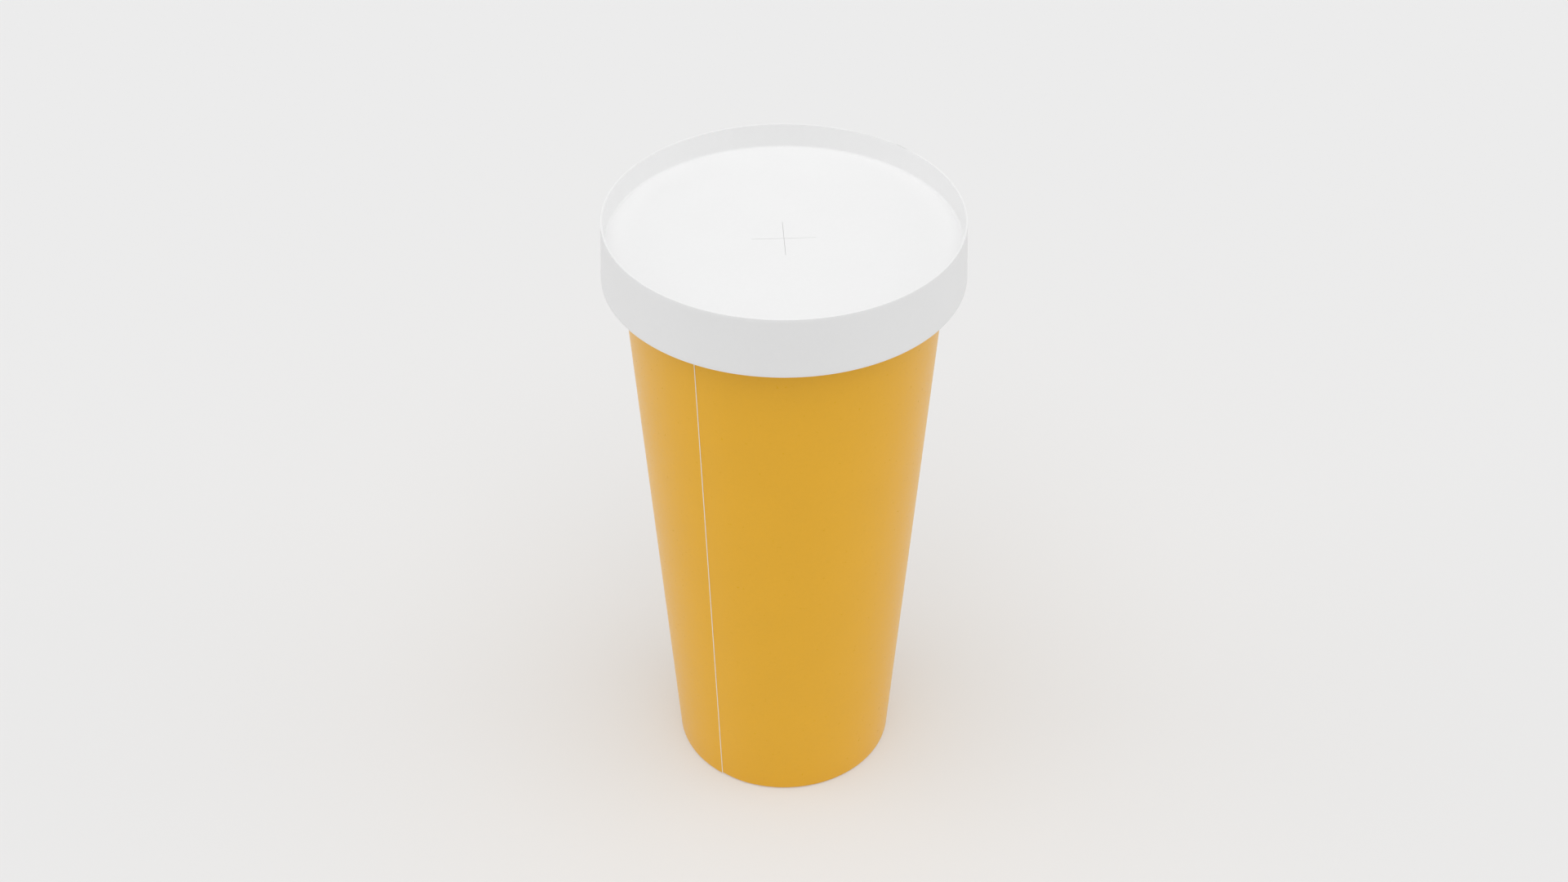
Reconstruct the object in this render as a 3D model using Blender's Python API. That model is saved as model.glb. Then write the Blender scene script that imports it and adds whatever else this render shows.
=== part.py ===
"""Paper drinks cup with a recessed paper lid and a cross-cut straw slot.

Metres, +Z up. The origin is the centre of the foot, on the surface that the cup stands on.
Azimuths are measured from -Y and grow towards +X.
"""
import math

import bmesh
import bpy
from mathutils import Matrix, Vector

# ---- Clearance ----
GAP = 0.0003  # between pieces that touch

# ---- Cup ----
BOARD = 0.00035  # thickness of the cup's board
FOOT_RADIUS = 0.0302  # outside of the wall at the standing edge
WALL_FLARE = 0.0673  # radius gained per unit of height
CUP_HEIGHT = 0.1653  # standing edge to the top of the brim
BRIM_RADIUS = 0.0449  # outside of the rolled brim
BRIM_ROLL = math.radians(305)  # how far round the brim's edge is rolled
HEM_HEIGHT = 0.0080  # height of the edge that is turned up inside the foot
BOTTOM_HEIGHT = 0.0095  # underside of the cup's bottom
BOTTOM_BEND = 0.0008  # outer radius of the bend in the bottom's rim
TOE_BEND = 0.00035  # outer radius of the bends at the standing edge

# ---- Side seam of the cup ----
SEAM_AZIMUTH = math.radians(-22.5)  # the generator that the free edge runs beside
SEAM_SHIFT = -0.0069  # distance of the free edge from that generator, round the wall
SEAM_LAP = 0.0090  # overlap of the two plies
SEAM_EASE = 0.0080  # distance in which the wall returns to its round shape
EDGE_STEP = 0.0001  # width of the step at a ply's edge

# ---- Lid ----
LID_BOARD = 0.0003
LID_RECESS = 0.0067  # depth of the floor below the rim
LID_RIM_RADIUS = 0.0453  # outside of the band at its top
LID_SKIRT_RADIUS = 0.0460  # outside of the band at its lower edge
LID_BAND_HEIGHT = 0.0159
LID_BEND = 0.0008  # outer radius of the bend between floor and upstand
LID_SEAM_AZIMUTH = math.radians(150)
LID_SEAM_LAP = 0.0080

# ---- Straw slot ----
SLIT_HALF = 0.0079  # half the length of each of the two slits
SLIT_TURN = math.radians(3.2)  # turn of the cross about +Z
SLIT_WIDTH = GAP
HINGE_GAP = 0.0004  # strip left open along each flap's crease
FLAP_NAMES = ("back_right", "back_left", "front_left", "front_right")

# ---- Facets ----
COLUMNS = 64  # round the axis
WALL_RINGS = 5  # up the wall
ROLL_SEGMENTS = 9  # round the brim's roll
BEND_SEGMENTS = 3  # round a small bend

# ---- Derived ----
LID_FLOOR_UNDER = CUP_HEIGHT + GAP
LID_FLOOR_TOP = LID_FLOOR_UNDER + LID_BOARD
LID_TOP = LID_FLOOR_TOP + LID_RECESS
LID_SKIRT_LOW = LID_TOP - LID_BAND_HEIGHT
UPSTAND_DEPTH = LID_BOARD + GAP  # from the band's outside to the outside of the disc's upstand
RIM_DEPTH = 1.5 * BOARD + GAP  # from the wall's outside to the bottom's rim, clear of the lap
HEM_DEPTH = RIM_DEPTH + BOARD + GAP  # from the wall's outside to the hem
FLAP_REACH = SLIT_HALF / math.sqrt(2)  # from the crease to the centre of the cross

ORANGE_PRINT = (0.80, 0.41, 0.010)
CUP_WHITE = (0.84, 0.83, 0.80)
LID_WHITE = (0.88, 0.88, 0.87)


# ---- Small helpers ----
def polar(azimuth, radius, height):
    """The point at an azimuth from -Y, a distance from the axis and a height."""
    return Vector((radius * math.sin(azimuth), -radius * math.cos(azimuth), height))


def arc(centre, radius, start, end, segments):
    """Points (radius, height) on an arc in the profile plane; angles are from +radius towards +Z."""
    points = []
    for i in range(segments + 1):
        angle = start + (end - start) * i / segments
        points.append((centre[0] + radius * math.cos(angle), centre[1] + radius * math.sin(angle)))
    return points


def paper(name, colour, roughness):
    """A matt or silk paper material."""
    material = bpy.data.materials.new(name)
    material.use_nodes = True
    shader = material.node_tree.nodes["Principled BSDF"]
    shader.inputs["Base Color"].default_value = (*colour, 1.0)
    shader.inputs["Roughness"].default_value = roughness
    shader.inputs["Metallic"].default_value = 0.0
    return material


def add_object(name, bm, material, parent=None):
    """Turn a bmesh into a smooth-shaded object under a parent, with its normals facing out."""
    bmesh.ops.recalc_face_normals(bm, faces=bm.faces)
    mesh = bpy.data.meshes.new(name)
    bm.to_mesh(mesh)
    bm.free()
    mesh.shade_smooth()
    mesh.set_sharp_from_angle(angle=math.radians(35))
    mesh.materials.append(material)
    piece = bpy.data.objects.new(name, mesh)
    piece.parent = parent
    bpy.context.collection.objects.link(piece)
    return piece


def add_empty(name, location):
    """An empty that carries the pieces of one moving body."""
    empty = bpy.data.objects.new(name, None)
    empty.location = location
    bpy.context.collection.objects.link(empty)
    return empty


# ---- Board wrapped round the axis ----
def turned(outline, start_azimuth=0.0):
    """A closed outline of (radius, height) points spun round the axis."""
    bm = bmesh.new()
    verts = [bm.verts.new(polar(start_azimuth, radius, height)) for radius, height in outline]
    edges = [bm.edges.new((verts[i - 1], verts[i])) for i in range(len(verts))]
    bmesh.ops.spin(
        bm,
        geom=verts + edges,
        cent=(0, 0, 0),
        axis=(0, 0, 1),
        angle=math.tau,
        steps=COLUMNS,
        use_merge=True,
    )
    bmesh.ops.remove_doubles(bm, verts=bm.verts, dist=1e-6)
    bmesh.ops.dissolve_degenerate(bm, edges=bm.edges, dist=1e-6)
    return bm


def lap_columns(radius, lap, ease, board):
    """Columns round a lapped sheet: angle from the free edge, and the shift of each face.

    The covering ply ends at angle 0 and lies on the side of the negative angles. Over the lap
    the sheet is two boards thick, and it stands half a board to each side of its round shape.
    """
    half = board / 2
    step, reach, tail = EDGE_STEP / radius, lap / radius, ease / radius
    hidden_edge = math.tau - reach
    covered = [(step, -half, -half), (tail / 2, -half / 2, -half / 2)]
    covering = [
        (hidden_edge - tail / 2, half / 2, half / 2),
        (hidden_edge - step, half, half),
        (hidden_edge, half, -half),
        (hidden_edge + reach / 2, half, -half),
        (math.tau, half, -half),
    ]
    steps = COLUMNS - len(covered) - len(covering) - 1
    plain = [(tail + (hidden_edge - 2 * tail) * i / steps, 0, 0) for i in range(steps + 1)]
    return covered + plain + covering


def lapped(outline, edge_azimuth, lap, ease, board):
    """A closed outline of (radius, height, face, seam radius) swept round the axis with a side seam.

    face is 1 on the outside of the sheet, -1 on its inside and 0 where the seam leaves no mark.
    edge_azimuth gives the free edge's azimuth at a seam radius.
    """
    bm = bmesh.new()
    loops = []
    for radius, height, face, seam_radius in outline:
        ring = []
        for angle, outer, inner in lap_columns(seam_radius, lap, ease, board):
            shift = {1: outer, -1: inner, 0: 0}[face]
            azimuth = edge_azimuth(seam_radius) + angle
            ring.append(bm.verts.new(polar(azimuth, radius + shift, height)))
        loops.append(ring)
    count = len(loops[0])
    for i, ring in enumerate(loops):
        above = loops[i - 1]
        for j in range(count):
            k = (j + 1) % count
            bm.faces.new((above[j], above[k], ring[k], ring[j]))
    return bm


# ---- Cup ----
def wall_radius(height):
    """Outside of the cup's wall."""
    return FOOT_RADIUS + WALL_FLARE * height


def seam_edge(radius):
    """Azimuth of the seam's free edge where the wall has this radius."""
    return SEAM_AZIMUTH + SEAM_SHIFT / radius


def brim_roll():
    """Middle line of the rolled brim: centre (radius, height) and radius of the roll."""
    roll = (BRIM_RADIUS - wall_radius(CUP_HEIGHT - BOARD / 2)) / (2 - WALL_FLARE)
    centre_height = CUP_HEIGHT - BOARD / 2 - roll
    centre_radius = wall_radius(centre_height) - BOARD / 2 + roll
    return (centre_radius, centre_height), roll


def wall_point(height, depth, face):
    """An outline point of the sidewall, a depth in from the wall's outside."""
    return (wall_radius(height) - depth, height, face, wall_radius(height))


def standing_edge():
    """The sheet's outside from the hem's inside, under the foot, to the wall."""
    hem_bend = (wall_radius(TOE_BEND) - HEM_DEPTH - BOARD + TOE_BEND, TOE_BEND)
    wall_bend = (wall_radius(TOE_BEND) - TOE_BEND, TOE_BEND)
    under_hem = arc(hem_bend, TOE_BEND, math.pi, 1.5 * math.pi, BEND_SEGMENTS)
    under_wall = arc(wall_bend, TOE_BEND, -math.pi / 2, 0, BEND_SEGMENTS)
    hem_points = [(r, z, 0, FOOT_RADIUS) for r, z in under_hem]
    wall_points = [(r, z, 1, FOOT_RADIUS) for r, z in under_wall[:-1]]
    return hem_points + wall_points


def cup_sidewall(material):
    """One sheet: the hem turned up inside the foot, the flared wall and the brim rolled outwards."""
    centre, roll = brim_roll()
    start, end = math.pi, math.pi - BRIM_ROLL
    top_radius = wall_radius(centre[1])
    heights = [TOE_BEND + (centre[1] - TOE_BEND) * i / WALL_RINGS for i in range(WALL_RINGS)]
    outside = [wall_point(z, 0, 1) for z in heights]
    inside = [wall_point(z, BOARD, -1) for z in reversed(heights)]
    rolled_under = arc(centre, roll - BOARD / 2, start, end, ROLL_SEGMENTS)
    rolled_over = arc(centre, roll + BOARD / 2, end, start, ROLL_SEGMENTS)
    brim = [(r, z, 0, top_radius) for r, z in rolled_under + rolled_over]
    hem = [
        wall_point(BOARD, HEM_DEPTH, 0),
        wall_point(HEM_HEIGHT, HEM_DEPTH, 0),
        wall_point(HEM_HEIGHT, HEM_DEPTH + BOARD, 0),
    ]
    outline = outside + brim + inside + hem + standing_edge()
    return add_object("cup_sidewall", lapped(outline, seam_edge, SEAM_LAP, SEAM_EASE, BOARD), material)


def cup_bottom(material):
    """A disc whose rim is bent down and stands inside the foot's fold."""
    low = BOARD + GAP
    top = BOTTOM_HEIGHT + BOARD
    bend = (wall_radius(BOTTOM_HEIGHT) - RIM_DEPTH - BOTTOM_BEND, top - BOTTOM_BEND)
    over = arc(bend, BOTTOM_BEND, math.pi / 2, 0, BEND_SEGMENTS)
    under = arc(bend, BOTTOM_BEND - BOARD, 0, math.pi / 2, BEND_SEGMENTS)
    rim_radius = wall_radius(low) - RIM_DEPTH
    rim = [(rim_radius, low), (rim_radius - BOARD, low)]
    outline = [(0, top)] + over + rim + under + [(0, BOTTOM_HEIGHT)]
    return add_object("cup_bottom", turned(outline), material)


# ---- Lid ----
def band_radius(height):
    """Outside of the lid's band, which widens downwards."""
    share = (LID_TOP - height) / LID_BAND_HEIGHT
    return LID_RIM_RADIUS + (LID_SKIRT_RADIUS - LID_RIM_RADIUS) * share


def lid_band(material, lid):
    """The strip glued round the lid, with its own lap."""
    corners = [
        (band_radius(LID_SKIRT_LOW), LID_SKIRT_LOW, 1),
        (band_radius(LID_TOP), LID_TOP, 1),
        (band_radius(LID_TOP) - LID_BOARD, LID_TOP, -1),
        (band_radius(LID_SKIRT_LOW) - LID_BOARD, LID_SKIRT_LOW, -1),
    ]
    outline = [(r, z - lid.location.z, face, LID_RIM_RADIUS) for r, z, face in corners]
    bm = lapped(outline, lambda radius: LID_SEAM_AZIMUTH, LID_SEAM_LAP, SEAM_EASE, LID_BOARD)
    return add_object("lid_band", bm, material, lid)


def lid_disc(material, lid):
    """The recessed floor with its upstand, and the square opening that the flaps close."""
    bend = (band_radius(LID_FLOOR_TOP) - UPSTAND_DEPTH - LID_BEND, LID_FLOOR_UNDER + LID_BEND)
    under = arc(bend, LID_BEND, -math.pi / 2, 0, BEND_SEGMENTS)
    over = arc(bend, LID_BEND - LID_BOARD, 0, -math.pi / 2, BEND_SEGMENTS)
    rim_radius = band_radius(LID_TOP) - UPSTAND_DEPTH
    rim = [(rim_radius, LID_TOP), (rim_radius - LID_BOARD, LID_TOP)]
    opening = (FLAP_REACH + HINGE_GAP / 2) * math.sqrt(2)  # half the opening's diagonal
    outline = [(opening, LID_FLOOR_UNDER)] + under + rim + over + [(opening, LID_FLOOR_TOP)]
    bm = turned([(r, z - lid.location.z) for r, z in outline], math.pi / 2 + SLIT_TURN)
    for vert in bm.verts:
        if vert.co.xy.length < opening * 1.01:
            square_off(vert, opening)
    return add_object("lid_disc", bm, material, lid)


def square_off(vert, half_diagonal):
    """Move a point of a circle onto the square whose corners are the ends of the slits."""
    angle = math.atan2(vert.co.y, vert.co.x) - SLIT_TURN
    radius = half_diagonal / (abs(math.cos(angle)) + abs(math.sin(angle)))
    vert.co.xy = radius * vert.co.xy.normalized()


def flap_mesh():
    """A right-angled triangle of board: its crease lies along X, and it points to +Y."""
    edge_inset = SLIT_WIDTH / 2 * math.sqrt(2)
    tip = FLAP_REACH - edge_inset
    base = HINGE_GAP / 2
    corners = [(base - tip, base), (tip - base, base), (0, tip)]
    bm = bmesh.new()
    lower = [bm.verts.new((x, y, -LID_BOARD / 2)) for x, y in corners]
    face = bm.faces.new(lower)
    swept = bmesh.ops.extrude_face_region(bm, geom=[face])
    raised = [item for item in swept["geom"] if isinstance(item, bmesh.types.BMVert)]
    bmesh.ops.translate(bm, verts=raised, vec=(0, 0, LID_BOARD))
    return bm


def straw_flaps(material, lid):
    """Four flaps between the slits, each with its origin on its crease, in the floor's mid-plane."""
    flaps = []
    for quarter, name in enumerate(FLAP_NAMES):
        direction = math.pi / 4 + quarter * math.pi / 2 + SLIT_TURN
        flap = add_object("straw_flap_" + name, flap_mesh(), material, lid)
        outwards = Vector((math.cos(direction), math.sin(direction), 0))
        middle = Vector((0, 0, LID_FLOOR_TOP - LID_BOARD / 2))
        flap.location = middle + FLAP_REACH * outwards - lid.location
        flap.rotation_euler = (0, 0, direction + math.pi / 2)
        flaps.append(flap)
    return flaps


def build():
    """Clear the scene and make the cup with its lid on."""
    for item in list(bpy.data.objects):
        bpy.data.objects.remove(item, do_unlink=True)
    printed = paper("orange_print", ORANGE_PRINT, 0.45)
    cup_white = paper("cup_white", CUP_WHITE, 0.5)
    lid_white = paper("lid_white", LID_WHITE, 0.55)
    cup_sidewall(printed)
    cup_bottom(cup_white)
    lid = add_empty("lid", (0, 0, CUP_HEIGHT))
    lid_band(lid_white, lid)
    lid_disc(lid_white, lid)
    straw_flaps(lid_white, lid)


build()
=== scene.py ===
"""The looks of a paper drinks cup with its lid on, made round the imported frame.

Metres, +Z up. Azimuths are measured from -Y and grow towards +X. Each piece is a sheet of paper or
board with its real thickness: one grid of points for its outer face, one for its inner face, and
narrow strips that close its cut edges.
"""
import math

import bmesh
import bpy
import numpy as np
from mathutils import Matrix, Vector


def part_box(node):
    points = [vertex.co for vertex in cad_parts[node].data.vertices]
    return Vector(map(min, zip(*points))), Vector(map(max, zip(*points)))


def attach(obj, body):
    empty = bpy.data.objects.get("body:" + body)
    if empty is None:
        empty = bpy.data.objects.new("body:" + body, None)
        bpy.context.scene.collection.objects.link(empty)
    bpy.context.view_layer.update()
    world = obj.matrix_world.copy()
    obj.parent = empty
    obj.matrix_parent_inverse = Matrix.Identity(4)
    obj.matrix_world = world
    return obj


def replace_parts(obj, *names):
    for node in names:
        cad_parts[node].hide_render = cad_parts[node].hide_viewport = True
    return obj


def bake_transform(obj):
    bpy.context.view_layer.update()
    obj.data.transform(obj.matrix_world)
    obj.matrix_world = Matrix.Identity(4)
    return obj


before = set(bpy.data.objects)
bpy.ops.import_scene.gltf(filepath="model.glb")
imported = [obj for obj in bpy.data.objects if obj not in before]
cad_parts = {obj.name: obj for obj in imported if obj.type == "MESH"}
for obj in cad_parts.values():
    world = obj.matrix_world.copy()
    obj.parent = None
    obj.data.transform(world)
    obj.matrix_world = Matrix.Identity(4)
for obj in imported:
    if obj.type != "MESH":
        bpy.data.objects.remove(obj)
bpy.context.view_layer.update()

# ---- Sizes that come from the frame ----
SIDEWALL_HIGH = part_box("cup_sidewall")[1]
BOTTOM_LOW, BOTTOM_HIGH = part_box("cup_bottom")
BAND_LOW, BAND_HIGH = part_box("lid_band")
DISC_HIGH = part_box("lid_disc")[1]
FLAP_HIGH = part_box("straw_flap_back_right")[1]

CUP_HEIGHT = SIDEWALL_HIGH.z
BOTTOM_TOP = BOTTOM_HIGH.z
LID_TOP = DISC_HIGH.z
FLOOR_TOP = FLAP_HIGH.z
SKIRT_LOW = BAND_LOW.z
SKIRT_RADIUS = min(-BAND_LOW.x, -BAND_LOW.y, BAND_HIGH.x, BAND_HIGH.y)

# ---- Cup ----
BOARD = 0.00035
FOOT_RADIUS = 0.0302
WALL_FLARE = 0.0673
BRIM_RADIUS = 0.0449
BRIM_ROLL = math.radians(305)
HEM_HEIGHT = 0.0080
TOE_BEND = 0.0005
TOE_LIFT = 0.0002  # the fold stands on its inner side, with the wall's foot this far off the ground
FOLD_GAP = 0.00020  # room on each side of the bottom's rim, which the lap takes up
BOTTOM_BEND = 0.0008

SEAM_AZIMUTH = math.radians(-22.5)  # the generator that the free edge runs beside
SEAM_SHIFT = -0.0069
SEAM_LAP = 0.0090
SEAM_EASE = 0.0080
PLY_GAP = 0.000005

# ---- Lid ----
LID_PAPER = 0.0002
RIM_RADIUS = SKIRT_RADIUS - 0.0007  # outside of the band at its top
RIM_THICKNESS = 2 * LID_PAPER + PLY_GAP
UPSTAND_LEAN = 0.0001  # the upstand stands this much further out at its top
FLOOR_FILLET = 0.0006  # inner radius of the bend between floor and upstand
BAND_SEAM_AZIMUTH = math.radians(150)
BAND_LAP = 0.0080

# ---- Straw slot ----
SLIT_HALF = 0.0079
SLIT_TURN = math.radians(3.2)
SLIT_WIDTHS = (0.00009, 0.000055)  # of the slit that runs across and of the one that runs back
SLIT_REACHES = (0.0079, 0.0075)  # how far from the centre each of them stays this wide
SLIT_END = 0.0003  # a slit closes over this distance
BEND_REACH = 0.00045  # on each side of the crease, the rows lie closest together over this much, where the paper would bend
CREASE_MARGIN = 0.0012  # how far each flap's piece reaches into the disc beyond its crease
FLAPS = ("back_right", "back_left", "front_left", "front_right")

# ---- Cut edges and laps ----
EDGE_SOFTNESS = 0.00003  # how far a cut edge is rounded
CUT_NARROWING = 0.9  # share of the thickness left at the very edge
RIM_SOFTNESS = 0.01  # share of the upstand's last segment over which its cut edge narrows
LAP_PRESS = 0.4  # share of the thickness that sealing takes out of the plies of a lap
BEVEL = 0.5  # share of what is left that the bevel along a covering ply's edge takes off
BEVEL_WIDTH = 0.00012

# ---- Fineness of the meshes ----
COLUMNS = 288  # round the axis
LAP_COLUMNS = 10
EASE_COLUMNS = 14
BEVEL_COLUMNS = 4
FLAP_COLUMNS = 25  # across a flap
FLAP_ROWS = (14, 17, 5)  # before the crease, across it and beyond it
HEM_SEGMENTS = 6
BEND_SEGMENTS = 8
WALL_SEGMENTS = 56
ROLL_SEGMENTS = 60
BOTTOM_SEGMENTS = 24
BOTTOM_RIM_SEGMENTS = 8
BAND_SEGMENTS = 16
FLOOR_SEGMENTS = 20
FILLET_SEGMENTS = 10
UPSTAND_SEGMENTS = 12
SAME_POINT = 1e-7  # points closer than this are one
SHARP_ANGLE = math.radians(28)  # edges sharper than this stay sharp
OUTER, INNER, CUT = range(3)  # a sheet's materials


# ---- Curves ----
def polar(azimuth, radius, height):
    """Points at azimuths from -Y, distances from the axis and heights, as an array."""
    return np.stack(
        np.broadcast_arrays(radius * np.sin(azimuth), -radius * np.cos(azimuth), height), axis=-1
    )


def arc(centre, radius, start, end, segments):
    """Points (radius, height) on an arc in the profile plane, with angles from +radius to +Z."""
    angle = np.linspace(start, end, segments + 1)
    across, up = radius * np.cos(angle), radius * np.sin(angle)
    return np.stack([centre[0] + across, centre[1] + up], axis=1)


def line(start, end, segments):
    """Evenly spaced points from start to end."""
    return np.linspace(start, end, segments + 1)


def chain(*runs):
    """Runs of points joined end to end, without the points that meet."""
    points = [runs[0][0]]
    for run in runs:
        for point in run:
            if np.hypot(*(point - points[-1])) > SAME_POINT:
                points.append(point)
    return np.array(points)


def smooth(share):
    """0 to 1 with soft ends."""
    share = np.clip(share, 0, 1)
    return share * share * (3 - 2 * share)


def side_normals(path):
    """Unit normals to the right of a path, which is the sheet's outer side."""
    along = np.gradient(path, axis=0)
    along /= np.linalg.norm(along, axis=1)[:, None]
    return np.stack([along[:, 1], -along[:, 0]], axis=1)


def soft_ends(path):
    """The path with one more point close to each end, where the cut edge's rounding starts."""
    ahead, back = path[1] - path[0], path[-2] - path[-1]
    first = path[0] + ahead * EDGE_SOFTNESS / np.linalg.norm(ahead)
    last = path[-1] + back * EDGE_SOFTNESS / np.linalg.norm(back)
    return np.vstack([path[:1], [first], path[1:-1], [last], path[-1:]])


def half_thickness(count, thickness):
    """Half the sheet's thickness at each of a row of points, narrower at both ends."""
    half = np.full(count, thickness / 2)
    half[[0, -1]] *= CUT_NARROWING
    return half


# ---- Sheets ----
def grid_faces(rows, columns, first, closed):
    """Quads of a grid of points whose numbering starts at first."""
    across = columns if closed else columns - 1
    faces = []
    for i in range(rows - 1):
        a, b = first + i * columns, first + (i + 1) * columns
        for j in range(across):
            k = (j + 1) % columns
            faces.append((a + j, a + k, b + k, b + j))
    return faces


def edge_faces(outer, inner, closed):
    """Quads that join two matching rows of point numbers."""
    count = len(outer) if closed else len(outer) - 1
    faces = []
    for i in range(count):
        k = (i + 1) % len(outer)
        faces.append((outer[i], outer[k], inner[k], inner[i]))
    return faces


def sheet(name, outer, inner, materials, closed=False, centre=False, bare=0):
    """A closed sheet between two grids of points.

    The grids run along the profile, then round the axis. materials are those of the outer face,
    the inner face and the cut edges. centre says that the first row is a point on the axis, and
    bare is how many columns of the outer face show the cut edges' material.
    """
    rows, columns = outer.shape[:2]
    number = np.arange(2 * rows * columns).reshape(2, rows, columns)
    edges = edge_faces(number[0, -1], number[1, -1], closed)
    if not centre:
        edges += edge_faces(number[0, 0], number[1, 0], closed)
    if not closed:
        edges += edge_faces(number[0, :, 0], number[1, :, 0], False)
        edges += edge_faces(number[0, :, -1], number[1, :, -1], False)
    outer_faces = grid_faces(rows, columns, 0, closed)
    inner_faces = grid_faces(rows, columns, rows * columns, closed)
    mesh = bpy.data.meshes.new(name)
    points = np.concatenate([outer.reshape(-1, 3), inner.reshape(-1, 3)])
    mesh.from_pydata(points.tolist(), [], outer_faces + inner_faces + edges)
    across = len(outer_faces) // (rows - 1)
    kinds = [CUT if i % across < bare else OUTER for i in range(len(outer_faces))]
    kinds += [INNER] * len(inner_faces) + [CUT] * len(edges)
    mesh.polygons.foreach_set("material_index", kinds)
    for material in materials:
        mesh.materials.append(material)
    tidy_mesh(mesh)
    piece = bpy.data.objects.new(name, mesh)
    bpy.context.collection.objects.link(piece)
    return piece


def tidy_mesh(mesh):
    """Merge the points on the axis, turn the normals out and shade the faces smooth."""
    bm = bmesh.new()
    bm.from_mesh(mesh)
    bmesh.ops.remove_doubles(bm, verts=bm.verts, dist=SAME_POINT)
    bmesh.ops.recalc_face_normals(bm, faces=bm.faces)
    bm.to_mesh(mesh)
    bm.free()
    mesh.shade_smooth()
    mesh.set_sharp_from_angle(angle=SHARP_ANGLE)


def lap_zones():
    """Column positions from the covering ply's free edge, round the wall, to the hidden edge.

    0 to 1 is the covering lap, 1 to 2 and 3 to 4 ease into the round wall, and 4 to 5 is the
    covered lap.
    """
    zones = [
        np.linspace(0, BEVEL_WIDTH / SEAM_LAP, BEVEL_COLUMNS + 1),
        np.linspace(0, 1, LAP_COLUMNS)[1:],
        1 + np.linspace(0, 1, EASE_COLUMNS)[1:],
        2 + np.linspace(0, 1, COLUMNS)[1:],
        3 + np.linspace(0, 1, EASE_COLUMNS)[1:],
        4 + np.linspace(0, 1, LAP_COLUMNS)[1:-1],
        np.array([5 - EDGE_SOFTNESS / SEAM_LAP, 5]),
    ]
    return np.concatenate(zones)


def lap_angles(zones, radius, lap):
    """Angle of each column from the covering ply's free edge, going round to the hidden edge."""
    lap_turn, ease_turn = lap / radius, SEAM_EASE / radius
    stops = [0, lap_turn, lap_turn + ease_turn, math.tau - ease_turn, math.tau, math.tau + lap_turn]
    return np.interp(zones, range(6), stops)


def lap_share(zones):
    """1 on the covering ply, 0 round the wall and -1 on the covered ply."""
    return (1 - smooth(zones - 1)) - smooth(zones - 3)


def lapped_sheet(name, path, seam_radius, edge_azimuth, lap, thickness, balance, materials):
    """A sheet wrapped round the axis until its ends overlap.

    seam_radius is the wall's radius at each point of the path, and edge_azimuth gives the free
    edge's azimuth there. balance is the share of the lap's extra thickness that goes outwards;
    the rest goes inwards.
    """
    zones = lap_zones()
    share = lap_share(zones)
    apart = thickness * (1 - LAP_PRESS) + PLY_GAP
    shift = np.where(share > 0, share * balance, share * (1 - balance)) * apart
    normals = side_normals(path)
    half = np.minimum.outer(
        half_thickness(len(path), thickness), half_thickness(len(zones), thickness)
    )
    half *= 1 - LAP_PRESS * np.abs(share)
    angles = np.array([lap_angles(zones, radius, lap) for radius in seam_radius])
    azimuth = np.array([edge_azimuth(radius) for radius in seam_radius])[:, None] - angles
    nearness = np.clip(1 - zones * SEAM_LAP / BEVEL_WIDTH, 0, 1)
    bevel = BEVEL * thickness * (1 - LAP_PRESS) * nearness
    faces = []
    for side, cut in ((1, bevel), (-1, 0)):
        offset = shift[None, :] + side * half - cut
        radius = path[:, 0][:, None] + normals[:, 0][:, None] * offset
        height = path[:, 1][:, None] + normals[:, 1][:, None] * offset
        faces.append((radius, height))
    # A ply that goes outwards at the foot would reach into the ground, so it is lifted on to it.
    lift = np.maximum(0, -faces[0][1])
    grids = [
        polar(azimuth, radius, np.minimum(height + lift, LID_TOP)) for radius, height in faces
    ]
    return sheet(name, grids[0], grids[1], materials, bare=BEVEL_COLUMNS)


def round_sheet(name, path, thickness, materials, azimuths, centre=False):
    """A sheet turned round the axis, whose first ring isn't a cut edge that shows."""
    normals = side_normals(path)
    half = half_thickness(len(path), thickness)
    half[0] = thickness / 2
    grids = []
    for side in (1, -1):
        face = path + normals * (side * half)[:, None]
        height = np.minimum(face[:, 1], LID_TOP)
        grids.append(polar(azimuths[None, :], face[:, 0][:, None], height[:, None]))
    return sheet(name, grids[0], grids[1], materials, closed=True, centre=centre)


# ---- Cup pieces ----
def wall_radius(height):
    """Outside of the cup's wall."""
    return FOOT_RADIUS + WALL_FLARE * height


def seam_edge(radius):
    """Azimuth of the seam's free edge where the wall has this radius."""
    return SEAM_AZIMUTH + SEAM_SHIFT / radius


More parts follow.
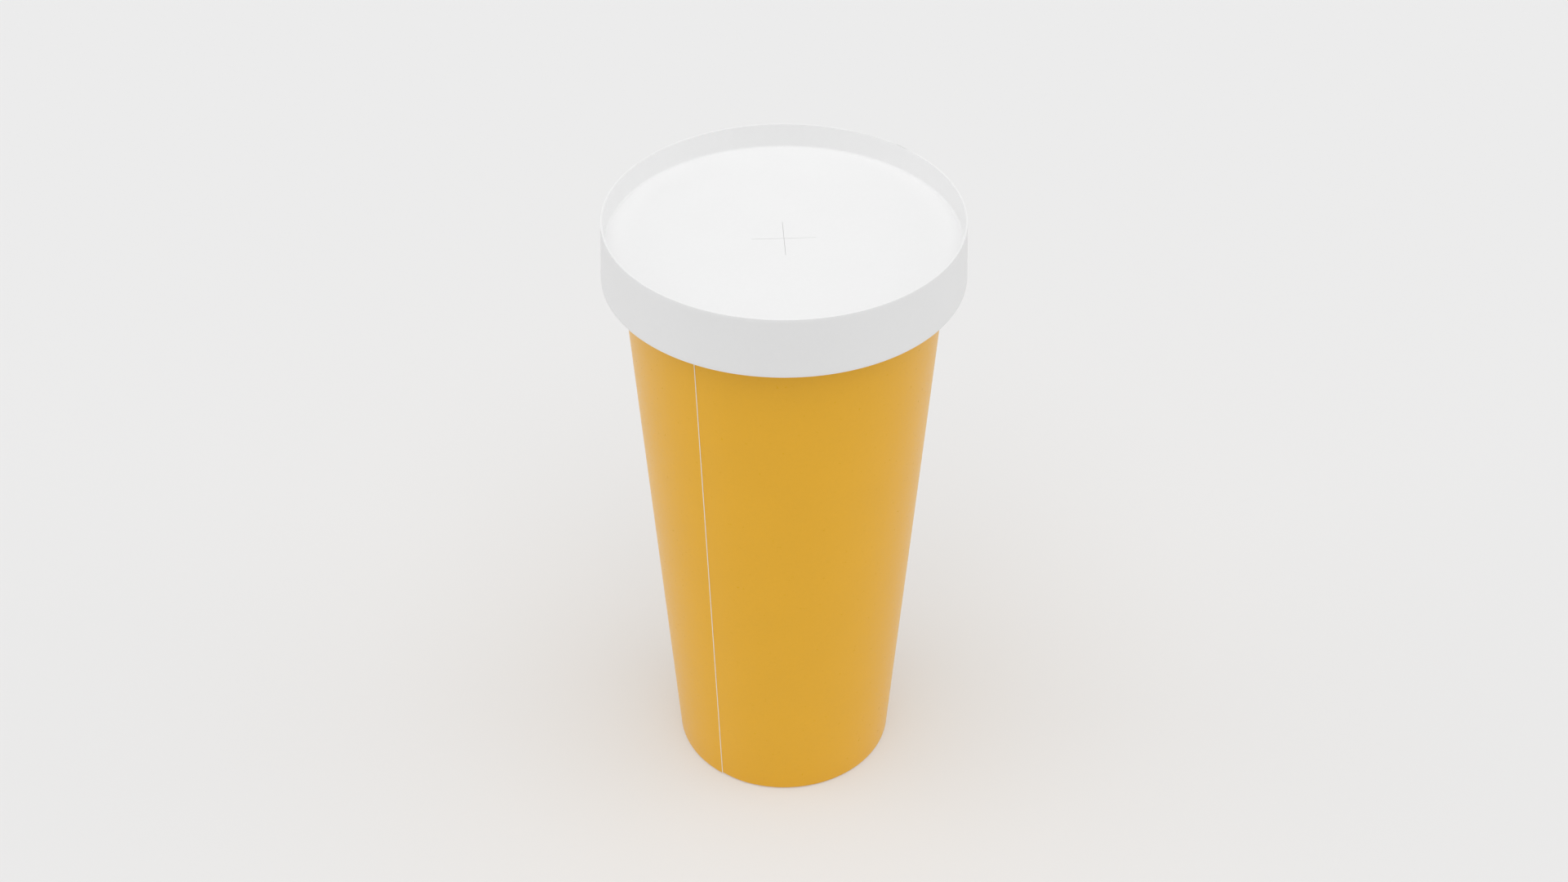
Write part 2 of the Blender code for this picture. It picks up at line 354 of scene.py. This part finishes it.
def sidewall_path():
    """The sheet's middle line: down the hem, round the fold, up the wall and over the brim."""
    lean = math.atan(WALL_FLARE)
    hem_depth = 2 * (BOARD + FOLD_GAP)
    middle = TOE_BEND - BOARD / 2
    hem_foot = np.array([wall_radius(TOE_BEND) - BOARD / 2 - hem_depth, TOE_BEND])
    hem_top = np.array([wall_radius(HEM_HEIGHT) - BOARD / 2 - hem_depth, HEM_HEIGHT])
    wall_foot = np.array([wall_radius(TOE_BEND) - BOARD / 2, TOE_BEND + TOE_LIFT])
    inner_bend = arc(hem_foot + (middle, 0), middle, math.pi, 1.5 * math.pi, BEND_SEGMENTS)
    outer_bend = arc(wall_foot - (middle, 0), middle, -math.pi / 2, 0, BEND_SEGMENTS)
    roll = (BRIM_RADIUS - wall_radius(CUP_HEIGHT - BOARD / 2)) / (2 - WALL_FLARE)
    roll_height = CUP_HEIGHT - BOARD / 2 - roll
    wall_top = np.array([wall_radius(roll_height) - BOARD / 2, roll_height])
    centre = wall_top + roll * np.array([math.cos(lean), -math.sin(lean)])
    start = math.pi - lean
    brim = arc(centre, roll, start, start - BRIM_ROLL, ROLL_SEGMENTS)
    wall = line(wall_foot, wall_top, WALL_SEGMENTS)
    return chain(line(hem_top, hem_foot, HEM_SEGMENTS), inner_bend, outer_bend, wall, brim)


def make_sidewall(materials):
    """The printed sheet with its lapped seam, hem and rolled brim."""
    path = soft_ends(sidewall_path())
    seam_radius = wall_radius(np.clip(path[:, 1], 0, CUP_HEIGHT))
    return lapped_sheet("sidewall", path, seam_radius, seam_edge, SEAM_LAP, BOARD, 0.5, materials)


def make_bottom(materials):
    """The cup's bottom, with its rim bent down into the foot."""
    rim_depth = BOARD + FOLD_GAP + BOARD / 2
    height = BOTTOM_TOP - BOARD / 2
    bend = BOTTOM_BEND - BOARD / 2
    corner = wall_radius(height) - rim_depth
    foot = np.array([wall_radius(BOTTOM_LOW.z) - rim_depth, BOTTOM_LOW.z])
    path = chain(
        line(np.array([0, height]), np.array([corner - bend, height]), BOTTOM_SEGMENTS),
        arc((corner - bend, height - bend), bend, math.pi / 2, 0, BEND_SEGMENTS),
        line(np.array([corner, height - bend]), foot, BOTTOM_RIM_SEGMENTS),
    )
    azimuths = np.linspace(0, math.tau, COLUMNS, endpoint=False)
    return round_sheet("bottom", path, BOARD, materials, azimuths, centre=True)


# ---- Lid pieces ----
def band_edge(radius):
    """Azimuth of the band's free edge, which is the same at every radius."""
    return BAND_SEAM_AZIMUTH


def make_band(materials):
    """The strip round the lid, with its lap at the back."""
    low = np.array([SKIRT_RADIUS - LID_PAPER / 2, SKIRT_LOW])
    high = np.array([RIM_RADIUS - LID_PAPER / 2, LID_TOP])
    path = soft_ends(line(low, high, BAND_SEGMENTS))
    seam_radius = np.full(len(path), RIM_RADIUS)
    return lapped_sheet("band", path, seam_radius, band_edge, BAND_LAP, LID_PAPER, 1, materials)


def slot_diagonal():
    """Half the diagonal of the square opening in the disc's own piece."""
    return SLIT_HALF + CREASE_MARGIN * math.sqrt(2)


def make_disc(materials):
    """The lid's floor and upstand, with a square opening that the four flap pieces fill."""
    height = FLOOR_TOP - LID_PAPER / 2
    bend = FLOOR_FILLET + LID_PAPER / 2
    rim = RIM_RADIUS - RIM_THICKNESS + LID_PAPER / 2
    corner = rim - UPSTAND_LEAN
    opening = slot_diagonal()
    path = chain(
        line(np.array([opening, height]), np.array([corner - bend, height]), FLOOR_SEGMENTS),
        arc((corner - bend, height + bend), bend, -math.pi / 2, 0, FILLET_SEGMENTS),
        line(np.array([corner, height + bend]), np.array([rim, LID_TOP]), UPSTAND_SEGMENTS),
    )
    near_rim = path[-2:-1] * RIM_SOFTNESS + path[-1:] * (1 - RIM_SOFTNESS)
    path = np.vstack([path[:-1], near_rim, path[-1:]])
    azimuths = math.pi / 2 + SLIT_TURN + np.linspace(0, math.tau, COLUMNS, endpoint=False)
    disc = round_sheet("disc", path, LID_PAPER, materials, azimuths)
    square_opening(disc.data, opening, corner - bend)
    return disc


def square_opening(mesh, opening, round_from):
    """Draw the rings round the opening in to a square, more the closer they are to it."""
    points = np.array([v.co for v in mesh.vertices])
    radius = np.hypot(points[:, 0], points[:, 1])
    angle = np.arctan2(points[:, 1], points[:, 0]) - SLIT_TURN
    square = opening / (np.abs(np.cos(angle)) + np.abs(np.sin(angle)))
    share = np.clip((round_from - radius) / (round_from - opening), 0, 1)
    wanted = radius + (square - opening) * share
    points[:, :2] *= (wanted / radius)[:, None]
    mesh.vertices.foreach_set("co", points.ravel())
    mesh.update()


def flap_rows():
    """Distances from the slot's centre along a slit's arm, closer together across the crease."""
    reach = BEND_REACH * math.sqrt(2)
    tip = sum(SLIT_WIDTHS) / 2 + EDGE_SOFTNESS
    stops = (tip, SLIT_HALF - reach, SLIT_HALF + reach, slot_diagonal())
    runs = [np.linspace(*ends) for ends in zip(stops, stops[1:], FLAP_ROWS)]
    return np.concatenate([runs[0][:-1], runs[1][:-1], runs[2]])


def make_flap(quarter, name, materials):
    """One flap with its share of the disc beyond the crease, so that the paper runs on unbroken."""
    rows = flap_rows()
    across = np.linspace(0, 1, FLAP_COLUMNS)
    insets = [
        width / 2 * (1 - smooth((rows - reach) / SLIT_END))
        for width, reach in zip(SLIT_WIDTHS, SLIT_REACHES)
    ]
    inset_a, inset_b = insets if quarter % 2 else reversed(insets)
    turn = quarter * math.pi / 2 + SLIT_TURN
    along_a = np.array([math.cos(turn), math.sin(turn)])
    along_b = np.array([-math.sin(turn), math.cos(turn)])
    a = inset_a[:, None] + (rows - inset_a - inset_b)[:, None] * across[None, :]
    b = rows[:, None] - a
    plan = a[..., None] * along_a + b[..., None] * along_b
    grids = []
    for height in (FLOOR_TOP - LID_PAPER, FLOOR_TOP):
        grids.append(np.concatenate([plan, np.full(a.shape + (1,), height)], axis=2))
    flap = sheet("flap_" + name, grids[0], grids[1], materials)
    node = "straw_flap_" + name
    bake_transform(flap)
    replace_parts(flap, node)
    return flap


# ---- Materials ----
ORANGE = (0.804, 0.419, 0.012)
CUP_WHITE = (0.80, 0.79, 0.765)
LID_WHITE = (0.870, 0.870, 0.870)
# Darker than LID_WHITE though it is the same white lid paper: painted shade on the band, which
# faces sideways.
SHADED_BAND_WHITE = (0.791, 0.791, 0.791)
CORE_WHITE = (0.93, 0.89, 0.81)
LID_CORE_WHITE = (0.8874, 0.8874, 0.8874)

# Sizes of the features in paper, in metres.
CLOUDS = 0.018
WAVES = 0.0024
SPECKLES = 0.0011
FIBRES_UP = 0.00035
FIBRES_AROUND = 0.00030
CORE_LAYERS = 0.00009
CORE_GRAIN = 0.00002

FIBRES_UP_SCALE = (1, 1, 0.22)  # squeezes the coordinates, which draws the noise out into fibres
FIBRES_AROUND_SCALE = (0.3, 0.3, 1)
WAVE_HEIGHT = 2.5  # times the grain's
CLOUD_SHARE = 0.35  # of the changes in tone; the speckles have as much, and the fibres the rest
FIBRE_SHARE = 0.30
FINISH_CHANGE = 0.05  # how far the roughness goes either way
CORE_ROUGHNESS = 0.9
CORE_TONES = (0.93, 1.05)  # the darkest and the lightest, as shares of the colour


def add_node(tree, kind, **settings):
    """A node with its settings."""
    node = tree.nodes.new(kind)
    for name, value in settings.items():
        setattr(node, name, value)
    return node


def noise(tree, coordinates, size, detail=3.0, roughness=0.55, distortion=0.0):
    """Noise whose features are about this size in metres."""
    node = add_node(tree, "ShaderNodeTexNoise")
    node.inputs["Scale"].default_value = 1 / size
    node.inputs["Detail"].default_value = detail
    node.inputs["Roughness"].default_value = roughness
    node.inputs["Distortion"].default_value = distortion
    tree.links.new(coordinates, node.inputs["Vector"])
    return node.outputs["Fac"]


def stretched(tree, coordinates, scale):
    """Coordinates scaled along each axis, for streaks."""
    node = add_node(tree, "ShaderNodeMapping")
    node.inputs["Scale"].default_value = scale
    tree.links.new(coordinates, node.inputs["Vector"])
    return node.outputs["Vector"]


def remap(tree, value, low, high, start=0.3, end=0.7):
    """A value from start to end carried to low to high."""
    node = add_node(tree, "ShaderNodeMapRange")
    node.inputs["From Min"].default_value = start
    node.inputs["From Max"].default_value = end
    node.inputs["To Min"].default_value = low
    node.inputs["To Max"].default_value = high
    tree.links.new(value, node.inputs["Value"])
    return node.outputs["Result"]


def maths(tree, operation, a, b):
    """Two values, or a value and a number, combined."""
    node = add_node(tree, "ShaderNodeMath", operation=operation)
    for socket, source in zip(node.inputs, (a, b)):
        if isinstance(source, float):
            socket.default_value = source
        else:
            tree.links.new(source, socket)
    return node.outputs[0]


def blend_colours(tree, factor, first, second):
    """A colour between two, by a factor."""
    node = add_node(tree, "ShaderNodeMix", data_type="RGBA")
    tree.links.new(factor, node.inputs["Factor"])
    for socket, colour in ((node.inputs["A"], first), (node.inputs["B"], second)):
        if isinstance(colour, tuple):
            socket.default_value = (*colour, 1)
        else:
            tree.links.new(colour, socket)
    return node.outputs["Result"]


def bump(tree, height, distance, strength=1.0, under=None):
    """A bump of this height in metres, on top of another."""
    node = add_node(tree, "ShaderNodeBump")
    node.inputs["Strength"].default_value = strength
    node.inputs["Distance"].default_value = distance
    tree.links.new(height, node.inputs["Height"])
    if under is not None:
        tree.links.new(under, node.inputs["Normal"])
    return node.outputs["Normal"]


def new_material(name):
    """A material, its tree, its shader and the coordinates in the frame's metres."""
    material = bpy.data.materials.new(name)
    material.use_nodes = True
    tree = material.node_tree
    coordinates = add_node(tree, "ShaderNodeTexCoord").outputs["Object"]
    return material, tree, tree.nodes["Principled BSDF"], coordinates


def scaled(colour, factor):
    """A colour made lighter or darker."""
    return tuple(channel * factor for channel in colour)


def paper_material(name, colour, roughness, mottle, grain, gloss=0.5):
    """Paper or board: clouds and fibres in its colour, a varying finish and a fine grain.

    mottle is the depth of the colour changes, and grain is the bump's height in metres.
    """
    material, tree, shader, coordinates = new_material(name)
    clouds = noise(tree, coordinates, CLOUDS, detail=2)
    speckle = noise(tree, coordinates, SPECKLES, detail=4, roughness=0.65)
    upwards = stretched(tree, coordinates, FIBRES_UP_SCALE)
    around = stretched(tree, coordinates, FIBRES_AROUND_SCALE)
    up_fibres = noise(tree, upwards, FIBRES_UP, detail=3, distortion=0.6)
    around_fibres = noise(tree, around, FIBRES_AROUND, detail=3, distortion=0.6)
    fibres = maths(tree, "MULTIPLY", maths(tree, "ADD", up_fibres, around_fibres), 0.5)
    soft, fine = (maths(tree, "MULTIPLY", source, CLOUD_SHARE) for source in (clouds, speckle))
    light = maths(tree, "ADD", soft, fine)
    light = maths(tree, "ADD", light, maths(tree, "MULTIPLY", fibres, FIBRE_SHARE))
    darkest, lightest = scaled(colour, 1 - mottle), scaled(colour, 1 + mottle)
    tone = blend_colours(tree, remap(tree, light, 0, 1), darkest, lightest)
    tree.links.new(tone, shader.inputs["Base Color"])
    finish = remap(tree, speckle, roughness - FINISH_CHANGE, roughness + FINISH_CHANGE)
    tree.links.new(finish, shader.inputs["Roughness"])
    relief = bump(tree, fibres, grain)
    waves = noise(tree, coordinates, WAVES, detail=2)
    relief = bump(tree, waves, grain * WAVE_HEIGHT, under=relief)
    tree.links.new(relief, shader.inputs["Normal"])
    shader.inputs["Specular IOR Level"].default_value = gloss
    return material


def core_material(name, colour):
    """A cut edge: rough fibres in thin layers."""
    material, tree, shader, coordinates = new_material(name)
    layers = noise(tree, coordinates, CORE_LAYERS, detail=4, roughness=0.7, distortion=0.8)
    darkest, lightest = (scaled(colour, share) for share in CORE_TONES)
    tone = blend_colours(tree, remap(tree, layers, 0, 1), darkest, lightest)
    tree.links.new(tone, shader.inputs["Base Color"])
    shader.inputs["Roughness"].default_value = CORE_ROUGHNESS
    tree.links.new(bump(tree, layers, CORE_GRAIN), shader.inputs["Normal"])
    return material


# ---- Stage ----
CAMERA_ELEVATION = math.radians(38)
CAMERA_DISTANCE = 0.58102
CAMERA_LENS = 50  # millimetres
CAMERA_SENSOR = 36  # millimetres
AIM_HEIGHT = 0.10194

FLOOR_REACH = 60.0
FLOOR_HEIGHT = -0.00002  # a hair under the foot, so that the two never lie in the same plane
FLOOR_WHITE = (0.623, 0.623, 0.623)
FLOOR_GLOW = 0.191  # keeps the shadows pale

# Strength of the dome at the front and back, at both sides and at the horizon.
DOME_MIDDLE = 0.50
DOME_SIDES = 0.84
DOME_HORIZON = 0.83
HORIZON_TOP = 0.10  # height on a unit sphere where the dome's horizon begins to fade
HORIZON_END = 0.30

# Name, azimuth, elevation and spread in degrees, and strength.
SUNS = (
    ("overhead", 0, 90, 60, 0.205),
    ("front", 0, 70, 56, 0.872),
    ("left", -90, 25, 40, 0.254),
    ("right", 90, 25, 40, 0.254),
)


def make_camera():
    """A camera looking down on the cup from the front."""
    data = bpy.data.cameras.new("camera")
    data.lens = CAMERA_LENS
    data.sensor_width = CAMERA_SENSOR
    camera = bpy.data.objects.new("camera", data)
    across, up = math.cos(CAMERA_ELEVATION), math.sin(CAMERA_ELEVATION)
    camera.location = (0, -CAMERA_DISTANCE * across, AIM_HEIGHT + CAMERA_DISTANCE * up)
    camera.rotation_euler = (math.pi / 2 - CAMERA_ELEVATION, 0, 0)
    bpy.context.collection.objects.link(camera)
    bpy.context.scene.camera = camera


def make_floor():
    """A plain pale floor."""
    mesh = bpy.data.meshes.new("floor")
    reach = FLOOR_REACH
    plan = [(-reach, -reach), (reach, -reach), (reach, reach), (-reach, reach)]
    corners = [(x, y, FLOOR_HEIGHT) for x, y in plan]
    mesh.from_pydata(corners, [], [(0, 1, 2, 3)])
    material = bpy.data.materials.new("floor")
    material.use_nodes = True
    shader = material.node_tree.nodes["Principled BSDF"]
    shader.inputs["Base Color"].default_value = (*FLOOR_WHITE, 1)
    shader.inputs["Emission Color"].default_value = (1, 1, 1, 1)
    shader.inputs["Emission Strength"].default_value = FLOOR_GLOW
    shader.inputs["Roughness"].default_value = 1.0
    shader.inputs["Specular IOR Level"].default_value = 0.0
    mesh.materials.append(material)
    floor = bpy.data.objects.new("floor", mesh)
    bpy.context.collection.objects.link(floor)


def sun(name, azimuth, elevation, spread, strength):
    """A broad distant light; its azimuth is measured from -Y and grows towards +X."""
    data = bpy.data.lights.new(name, "SUN")
    data.angle = math.radians(spread)
    data.energy = strength
    light = bpy.data.objects.new(name, data)
    across, up = math.cos(math.radians(elevation)), math.sin(math.radians(elevation))
    turn = math.radians(azimuth)
    towards = Vector((across * math.sin(turn), -across * math.cos(turn), up))
    light.rotation_euler = towards.to_track_quat("Z", "Y").to_euler()
    bpy.context.collection.objects.link(light)


def make_lights():
    """A pale dome, lighter at both sides and at the horizon, with broad lights round the front."""
    world = bpy.data.worlds.new("dome")
    bpy.context.scene.world = world
    world.use_nodes = True
    tree = world.node_tree
    direction = add_node(tree, "ShaderNodeTexCoord").outputs["Generated"]
    axes = add_node(tree, "ShaderNodeSeparateXYZ")
    tree.links.new(direction, axes.inputs["Vector"])
    sideways = maths(tree, "ABSOLUTE", axes.outputs["X"], 0.0)
    strength = remap(tree, sideways, DOME_MIDDLE, DOME_SIDES, 0, 1)
    horizon = remap(tree, axes.outputs["Z"], DOME_HORIZON, 0, HORIZON_TOP, HORIZON_END)
    strength = maths(tree, "MAXIMUM", strength, horizon)
    tree.links.new(strength, tree.nodes["Background"].inputs["Strength"])
    tree.nodes["Background"].inputs["Color"].default_value = (1, 1, 1, 1)
    for name, azimuth, elevation, spread, power in SUNS:
        sun(name, azimuth, elevation, spread, power)


def make_pieces():
    """Every piece of the cup; the sidewall, the bottom, the band and the disc go on their bodies.
    """
    printed = paper_material(
        "orange_print", ORANGE, roughness=0.32, mottle=0.03, grain=0.000004, gloss=0.37
    )
    lining = paper_material(
        "white_lining", CUP_WHITE, roughness=0.34, mottle=0.02, grain=0.000003
    )
    lid_paper = paper_material(
        "lid_paper", LID_WHITE, roughness=0.62, mottle=0.015, grain=0.000005
    )
    # The band's paper is the lid's white made darker: painted shade on the band's sides.
    shaded_band_paper = paper_material(
        "shaded_band_paper", SHADED_BAND_WHITE, roughness=0.42, mottle=0.015, grain=0.000005
    )
    core = core_material("board_core", CORE_WHITE)
    lid_core = core_material("lid_core", LID_CORE_WHITE)

    sidewall = make_sidewall((printed, lining, core))
    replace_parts(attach(sidewall, "cup"), "cup_sidewall")
    bottom = make_bottom((lining, lining, core))
    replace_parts(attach(bottom, "cup"), "cup_bottom")
    band = make_band((shaded_band_paper, shaded_band_paper, lid_core))
    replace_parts(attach(band, "lid"), "lid_band")
    disc = make_disc((lid_paper, lid_paper, lid_core))
    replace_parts(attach(disc, "lid"), "lid_disc")
    for quarter, name in enumerate(FLAPS):
        make_flap(quarter, name, (lid_paper, lid_paper, lid_core))


make_camera()
make_floor()
make_lights()
make_pieces()
bpy.context.scene.view_settings.view_transform = "Standard"
